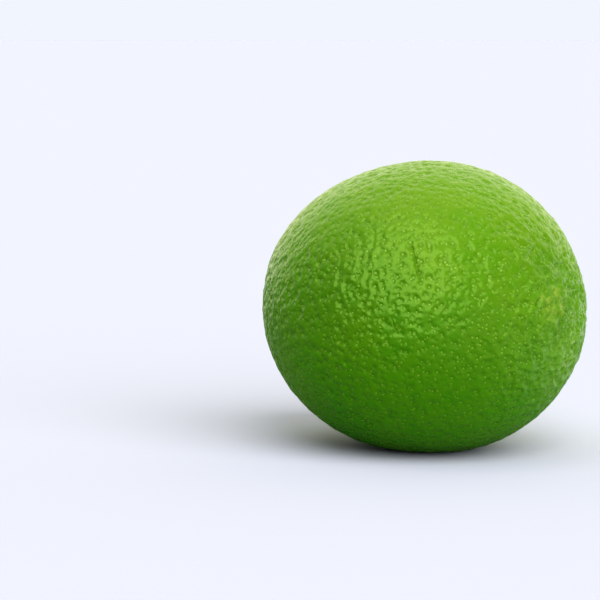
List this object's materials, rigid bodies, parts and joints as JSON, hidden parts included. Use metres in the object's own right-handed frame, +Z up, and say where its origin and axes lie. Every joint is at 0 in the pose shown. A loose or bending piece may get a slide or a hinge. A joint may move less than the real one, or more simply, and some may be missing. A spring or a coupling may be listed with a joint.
{
  "type": "key lime",
  "caption": "Whole round-oval key lime with pebbled green peel, lying on a small flat spot, with a low nipple and puckered skin at one end and a shallow stem scar at the other.",
  "frame": {"origin": "on the resting surface, under the centre of the fruit's bounding box", "axes": "+X along the long axis towards the blossom end, +Y to the fruit's left when looking along +X, +Z up"},
  "size_m": [0.044, 0.038, 0.0371],
  "materials": {
    "peel": "waxy, softly glossy peel"
  },
  "bodies": {
    "root": {"key_lime": "peel"}
  },
  "joints": []
}
